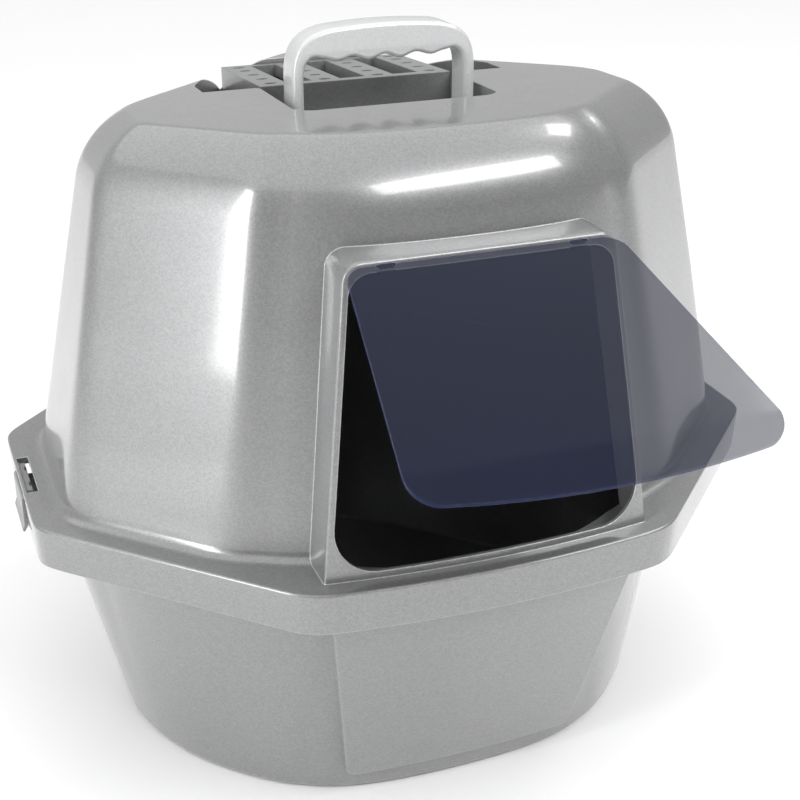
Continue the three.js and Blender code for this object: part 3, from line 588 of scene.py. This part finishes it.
def make_hood():
    hood = combine(ledge_outside(), [dome("dome", 0), surround("surround", 0)], "UNION")
    hollow = [ledge_inside(), dome("dome_inside", WALL), surround("surround_inside", WALL)]
    hood = combine(hood, hollow, "DIFFERENCE")
    pocket_floor, above_roof = RIM_Z + POCKET["floor"], RIM_Z + ROOF_Z + ABOVE_ROOF
    lining = prism("lining", pocket_outline(WALL), pocket_floor - WALL, above_roof)
    lining = combine(lining, [dome("dome_limit", 0)], "INTERSECT")
    hood = combine(hood, [lining], "UNION")
    pocket = prism("pocket", pocket_outline(0), pocket_floor, above_roof)
    doorway = prism_y("doorway", [(x, z + RIM_Z) for x, z in door_outline(**OPENING)],
                      FACE_TOP_Y - DOORWAY_CUT["front"], FACE_TOP_Y + DOORWAY_CUT["back"])
    hood = combine(hood, [pocket, doorway, *floor_cuts(), *hinge_windows(), *latch_cuts()], "DIFFERENCE")
    half = HINGE["length"] / 2 + HINGE["bar_overlap"]
    bars = [
        rod_x("hinge_bar", HINGE["bar"], side * HINGE["x"] - half, side * HINGE["x"] + half,
              HINGE["y"], HINGE["z"])
        for side in (-1, 1)
    ]
    hood = combine(hood, bars, "UNION")
    hood.name = "hood_shell"
    return dress(smooth(hood), SILVER, "shell", "silver_plastic", "hood")


# ---- Pan ------------------------------------------------------------------------------------------------

def pan_ring(z, skin, curl=0.0):
    down = RIM_Z - SKIRT - z
    up = min(1.0, z / (RIM_Z - SKIRT))
    sharpness = [low + (high - low) * up for low, high in zip(PAN_CORNERS_LOW, PAN_CORNERS_HIGH)]
    return outline(inset(PAN, np.array(PAN_LEAN) * down + skin + curl), sharpness, PAN_BOW, z)


def pan_body(name, skin):
    rings = []
    radius = PAN_ROUND - skin
    for turn in np.linspace(0, math.pi / 2, 9):
        rings.append(pan_ring(skin + radius * (1 - math.cos(turn)), skin, radius * (1 - math.sin(turn))))
    for z in np.linspace(25, PAN_TOP + (2 if skin > 0 else 0), 12):
        rings.append(pan_ring(z, skin))
    return loft(name, rings)


def pan_lip():
    def ring(away, z):
        return outline(inset(RIM, away), RIM_CORNERS, RIM_BOW, z)

    foot = PAN_TOP - LIP["depth"]
    low, middle, high = LIP["outside"]
    outside = loft("lip", [ring(low, foot), ring(middle, PAN_TOP - 1), ring(high, PAN_TOP)])
    low, high = LIP["inside"]
    inside = loft("lip_inside", [ring(low, foot - 1), ring(high, PAN_TOP - WALL)])
    return combine(outside, [inside], "DIFFERENCE")


def pad_outline(shrink):
    low, high = PAD["bottom"] + shrink, PAD["top"]
    bottom_half, top_half = PAD["bottom_half"] - shrink, PAD["top_half"] - shrink
    corner = PAD["corner"] - shrink
    right = arc(bottom_half - corner, low + corner, corner, -math.pi / 2, 0.06, 10)
    right.append((top_half, high))
    return divided(right + [(-x, z) for x, z in reversed(right)], 15)


def front_pad():
    def wall_y(z):
        return PAN_LEAN[0] * (RIM_Z - SKIRT - z) - PAN[0]

    def ring(points, depth):
        bulge = [PAN_BOW * (1 - (x / PAD["top_half"]) ** 2) for x, _ in points]
        return np.array([(x, wall_y(z) - b - depth, z) for (x, z), b in zip(points, bulge)])

    rounding = PAD["rounding"]
    flat = pad_outline(0)
    rings = [ring(flat, -PAD["root"]), ring(flat, PAD["proud"] - rounding)]
    for turn in np.linspace(0, math.pi / 2, 5)[1:]:
        shrunk = pad_outline(rounding * (1 - math.cos(turn)))
        rings.append(ring(shrunk, PAD["proud"] - rounding * (1 - math.sin(turn))))
    return loft("front_pad", rings)


def catch_shelves():
    """The shelf between wall and lip that each latch hooks under."""
    half = LATCH["length"] / 2 + SHELF["side"]
    z0, z1 = PAN_TOP - SHELF["bottom"], PAN_TOP - SHELF["top"]
    spans = [sorted((side * SHELF["inner"], side * SHELF["outer"])) for side in (-1, 1)]
    return [block("shelf", x0, x1, LATCH["y"] - half, LATCH["y"] + half, z0, z1) for x0, x1 in spans]


def make_pan():
    pan = combine(pan_body("pan_body", 0), [front_pad(), pan_lip(), *catch_shelves()], "UNION")
    notches = []
    half = LATCH["length"] / 2 + LATCH_NOTCH["side"]
    for side in (-1, 1):
        inner, outer = LATCH["window_in"] - LATCH_NOTCH["inwards"], RIM[2] + LATCH_NOTCH["outwards"]
        x0, x1 = sorted((side * inner, side * outer))
        notches.append(block("notch", x0, x1, LATCH["y"] - half, LATCH["y"] + half,
                             RIM_Z - LATCH_NOTCH["below"], RIM_Z + LATCH_NOTCH["above"]))
    pan = combine(pan, [pan_body("pan_inside", WALL), *notches], "DIFFERENCE")
    pan.name = "pan_tub"
    return dress(smooth(pan), SILVER, "shell", "silver_plastic", "pan")


# ---- Door flap ------------------------------------------------------------------------------------------

def corner_cut(distance, radius):
    """How far an edge stands in at this distance from a rounded end."""
    if distance >= radius:
        return 0.0
    return radius - math.sqrt(max(0.0, radius ** 2 - (radius - distance) ** 2))


def flap_point(s, u, face):
    """A point of the flap hanging straight down: s runs down, u across, face is how far out it stands."""
    down = FLAP["top"] + s * (FLAP["length"] - FLAP["top"])
    lean = (FLAP["bottom_half"] - FLAP["top_half"]) / FLAP["length"]
    cut = corner_cut(down - FLAP["top"], FLAP_CORNERS["high"])
    cut += corner_cut(FLAP["length"] - down, FLAP_CORNERS["low"])
    x = u * (FLAP["top_half"] + lean * down - cut)
    down += s * FLAP["bow"] * (1 - (x / FLAP["bottom_half"]) ** 2)
    past = down - (FLAP["length"] - FLAP["lip"])
    bent = 0.5 * (past + math.sqrt(past * past + 1)) * math.tan(FLAP["bend"])
    return (x, -(FLAP["offset"] - bent + face), -down)


def make_flap():
    half = FLAP["thickness"] / 2
    # Shares of the flap's length, closer together at the rounded corners and at the bend.
    rows = np.concatenate([
        (1 - np.cos(np.linspace(0, math.pi / 2, 12))) * FLAP_CORNERS["high"] / FLAP["length"],
        np.linspace(0.09, 0.84, 22),
        np.linspace(0.86, 0.94, 17),
        1 - (1 - np.sin(np.linspace(0.3, math.pi / 2, 22))) * 1.05 * FLAP_CORNERS["low"] / FLAP["length"],
    ])
    rows = np.unique(np.clip(rows, 0, 1))
    across = np.linspace(-1, 1, 61)
    work = bmesh.new()
    sheets = []
    for face in (half, -half):
        sheets.append([
            [work.verts.new(np.array(flap_point(s, u, face)) * MM) for u in across] for s in rows
        ])
    front, back = sheets
    last_row, last_column = len(rows) - 1, len(across) - 1
    for i in range(last_row):
        for j in range(last_column):
            work.faces.new((front[i][j], front[i + 1][j], front[i + 1][j + 1], front[i][j + 1]))
            work.faces.new((back[i][j], back[i][j + 1], back[i + 1][j + 1], back[i + 1][j]))
    rim = [(0, j) for j in range(last_column + 1)]
    rim += [(i, last_column) for i in range(1, last_row + 1)]
    rim += [(last_row, j) for j in range(last_column - 1, -1, -1)]
    rim += [(i, 0) for i in range(last_row - 1, 0, -1)]
    for (i, j), (k, m) in zip(rim, rim[1:] + rim[:1]):
        work.faces.new((front[i][j], front[k][m], back[k][m], back[i][j]))
    bmesh.ops.remove_doubles(work, verts=work.verts, dist=0.00002)
    bmesh.ops.recalc_face_normals(work, faces=work.faces)
    mesh = bpy.data.meshes.new("smoked_flap")
    work.to_mesh(mesh)
    work.free()
    flap = bpy.data.objects.new("smoked_flap", mesh)
    bpy.context.scene.collection.objects.link(flap)
    to_hinge = Matrix.Translation((0, HINGE["y"] * MM, HINGE["z"] * MM))
    turn = to_hinge @ Matrix.Rotation(math.radians(-FLAP_OPEN), 4, "X")
    flap.data.transform(turn)
    dress(smooth(flap, 50), SMOKE, "flap", "smoked_plastic", "door_flap")
    for side in (-1, 1):
        hook = flap_hook(side)
        hook.data.transform(turn)
        dress(smooth(hook, 50), SMOKE, "flap", "smoked_plastic")
    return flap


def flap_hook(side):
    inner, outer, half = HOOK["inner"], HOOK["outer"], HOOK["half"]
    angles = np.linspace(HOOK["start"], HOOK["end"], 26)
    section = [(outer * math.cos(a), outer * math.sin(a)) for a in angles]
    section += [(inner * math.cos(a), inner * math.sin(a)) for a in reversed(angles)]
    rings = [np.array([(side * HINGE["x"] + x, y, z) for y, z in section]) for x in (-half, half)]
    name = "flap_hook_left" if side < 0 else "flap_hook_right"
    return solid_ready(loft(name, rings))


# ---- Carry handle ---------------------------------------------------------------------------------------

def bezier(a, b, c, d, steps=14):
    t = np.linspace(0, 1, steps)[:, None]
    a, b, c, d = (np.array(p, float) for p in (a, b, c, d))
    return (1 - t) ** 3 * a + 3 * (1 - t) ** 2 * t * b + 3 * (1 - t) * t * t * c + t ** 3 * d


def handle_outline():
    half, foot, top = HANDLE["half"], HANDLE["foot"], HANDLE["top"]
    inner, under = half - HANDLE["leg"], top - HANDLE["grip"]
    outer = [np.array([[-half, foot]])]
    outer.append(bezier(*[(-half + x, top + z) for x, z in HANDLE_CORNER]))
    t = np.linspace(0, 1, 16)[1:-1]
    corner_x, corner_z = HANDLE_CORNER[-1]
    width = half - corner_x
    arch = 4 * HANDLE["arch"] * t * (1 - t)
    outer.append(np.column_stack([-width + 2 * width * t, top + corner_z + arch]))
    outer.append(outer[1][::-1] * [-1, 1])
    outer.append(np.array([[half, foot], [inner, foot]]))
    corner = bezier(*[(inner + x, under + z) for x, z in GRIP_CORNER])
    outer.append(corner)
    t = np.linspace(0, 1, 64)[1:-1]
    wave = (1 - np.cos(2 * math.pi * HANDLE["fingers"] * t)) * np.sin(math.pi * t) ** 0.3
    reach = inner - HANDLE["finger_margin"]
    outer.append(np.column_stack([reach * (1 - 2 * t), under - HANDLE["scallop"] * wave]))
    outer.append(corner[::-1] * [-1, 1])
    outer.append(np.array([[-inner, foot]]))
    points = np.concatenate(outer)
    points[:, 1] += RIM_Z
    return points


def make_handle():
    rounding = HANDLE["rounding"]
    curve = bpy.data.curves.new("handle_curve", "CURVE")
    curve.dimensions = "2D"
    curve.fill_mode = "BOTH"
    curve.extrude = (HANDLE["depth"] / 2 - rounding) * MM
    curve.bevel_depth = rounding * MM
    curve.bevel_resolution = 5
    curve.offset = -rounding * MM
    points = handle_outline()
    spline = curve.splines.new("POLY")
    spline.points.add(len(points) - 1)
    for point, (x, z) in zip(spline.points, points):
        point.co = (x * MM, z * MM, 0, 1)
    spline.use_cyclic_u = True
    drawn = bpy.data.objects.new("handle_drawn", curve)
    bpy.context.scene.collection.objects.link(drawn)
    graph = bpy.context.evaluated_depsgraph_get()
    mesh = bpy.data.meshes.new_from_object(drawn.evaluated_get(graph), depsgraph=graph)
    bpy.data.objects.remove(drawn)
    mesh.transform(Matrix.Translation((0, HANDLE["y"] * MM, 0)) @ Matrix.Rotation(math.pi / 2, 4, "X"))
    handle = bpy.data.objects.new("grip_handle", mesh)
    bpy.context.scene.collection.objects.link(handle)
    merge_close(handle)
    return dress(smooth(handle, 40), PEARL, "handle", "pearl_plastic", "carry_handle")


def merge_close(obj):
    work = bmesh.new()
    work.from_mesh(obj.data)
    bmesh.ops.remove_doubles(work, verts=work.verts, dist=0.00001)
    bmesh.ops.recalc_face_normals(work, faces=work.faces)
    work.to_mesh(obj.data)
    work.free()


# ---- Filter, vent and latches ---------------------------------------------------------------------------

def make_filter():
    low, high = (np.array(c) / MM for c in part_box("filter_pad"))
    steps = 24
    rings = []
    # Each ring's height and how far inside the CAD node's box it runs.
    for z, shrink in ((low[2], 1.5), (low[2] + 2, 0.2), (high[2] - 3, 0.2), (high[2] - 1, 1.2)):
        ring = []
        x0, x1, y0, y1 = low[0] + shrink, high[0] - shrink, low[1] + shrink, high[1] - shrink
        ring += [(x0 + (x1 - x0) * i / steps, y0) for i in range(steps)]
        ring += [(x1, y0 + (y1 - y0) * i / steps) for i in range(steps)]
        ring += [(x1 - (x1 - x0) * i / steps, y1) for i in range(steps)]
        ring += [(x0, y1 - (y1 - y0) * i / steps) for i in range(steps)]
        rings.append(np.column_stack([np.array(ring), np.full(len(ring), z)]))
    pad = smooth(solid_ready(loft("carbon_pad", rings)), 60)
    return dress(pad, FOAM, "vent", "carbon_foam", "filter_pad")


def dress_cad_nodes():
    for name in ("vent_cover", "latch_left", "latch_right"):
        NODES[name].data.materials.clear()
        NODES[name].data.materials.append(GREY)


# ---- Stage ----------------------------------------------------------------------------------------------

def area_light(name, place, target, width, height, power):
    data = bpy.data.lights.new(name, "AREA")
    data.shape = "RECTANGLE"
    data.size, data.size_y = width, height
    data.energy = power
    lamp = bpy.data.objects.new(name, data)
    lamp.location = place
    aim = np.array(target, float) - np.array(place, float)
    lamp.rotation_euler = vector(aim).to_track_quat("-Z", "Y").to_euler()
    bpy.context.scene.collection.objects.link(lamp)


def sky_light():
    """A wide overhead glow, as even as an overcast sky, that keeps the floor pale."""
    data = bpy.data.lights.new("overhead_glow", "SUN")
    data.energy = 1.6
    data.angle = math.radians(100)
    lamp = bpy.data.objects.new("overhead_glow", data)
    lamp.location = (0, 0, 3)
    bpy.context.scene.collection.objects.link(lamp)


def vector(values):
    return Matrix.Translation(tuple(float(v) for v in values)).to_translation()


def studio_world():
    """White surroundings, brighter behind and to the left of the box, to bring its tones near the photo's."""
    world = bpy.data.worlds.new("studio")
    world.use_nodes = True
    tree = world.node_tree
    direction = node(tree, "ShaderNodeTexCoord").outputs["Generated"]
    aim = node(tree, "ShaderNodeVectorMath", operation="DOT_PRODUCT")
    aim.inputs[1].default_value = (-0.45, 0.85, 0.25)
    tree.links.new(direction, aim.inputs[0])
    strength = spread(tree, aim.outputs["Value"], 0.2, 0.6, -0.8, 0.8)
    tree.links.new(strength, tree.nodes["Background"].inputs["Strength"])
    tree.nodes["Background"].inputs["Color"].default_value = (1, 1, 1, 1)
    return world


def make_stage():
    scene = bpy.context.scene
    scene.view_settings.view_transform = "Standard"
    camera = bpy.data.objects.new("camera", bpy.data.cameras.new("camera"))
    camera.location = (-0.336, -0.957, 0.685)
    camera.rotation_euler = (math.radians(90 - 24.9), 0, math.radians(-20.66))
    camera.data.lens = 65.6
    camera.data.sensor_width = 36
    scene.collection.objects.link(camera)
    scene.camera = camera
    reach = FLOOR_REACH
    corners = [(-reach, -reach, 0), (reach, -reach, 0), (reach, reach, 0), (-reach, reach, 0)]
    floor = new_object("floor", corners, [(0, 1, 2, 3)])
    material, tree, principled = shader("pale_floor")
    position = node(tree, "ShaderNodeTexCoord").outputs["Object"]
    clouds = spread(tree, noise(tree, position, 3.0, 2.0), 0.99, 1.0)
    tree.links.new(scaled_colour(tree, (0.97, 0.97, 0.97), clouds), principled.inputs["Base Color"])
    principled.inputs["Roughness"].default_value = 0.9
    floor.data.materials.append(material)
    scene.world = studio_world()
    area_light("left_box", (-1.78, -0.755, 0.85), (0, 0, 0.3), 0.37, 1.4, 17)
    area_light("high_box", (1.4, 0.15, 1.9), (0, 0, 0.3), 0.5, 0.35, 4)
    area_light("front_box", (0.85, -1.5, 1.75), (0, 0, 0.3), 1.7, 0.5, 24)
    sky_light()


make_stage()
make_pan()
make_hood()
make_flap()
make_handle()
make_filter()
dress_cad_nodes()
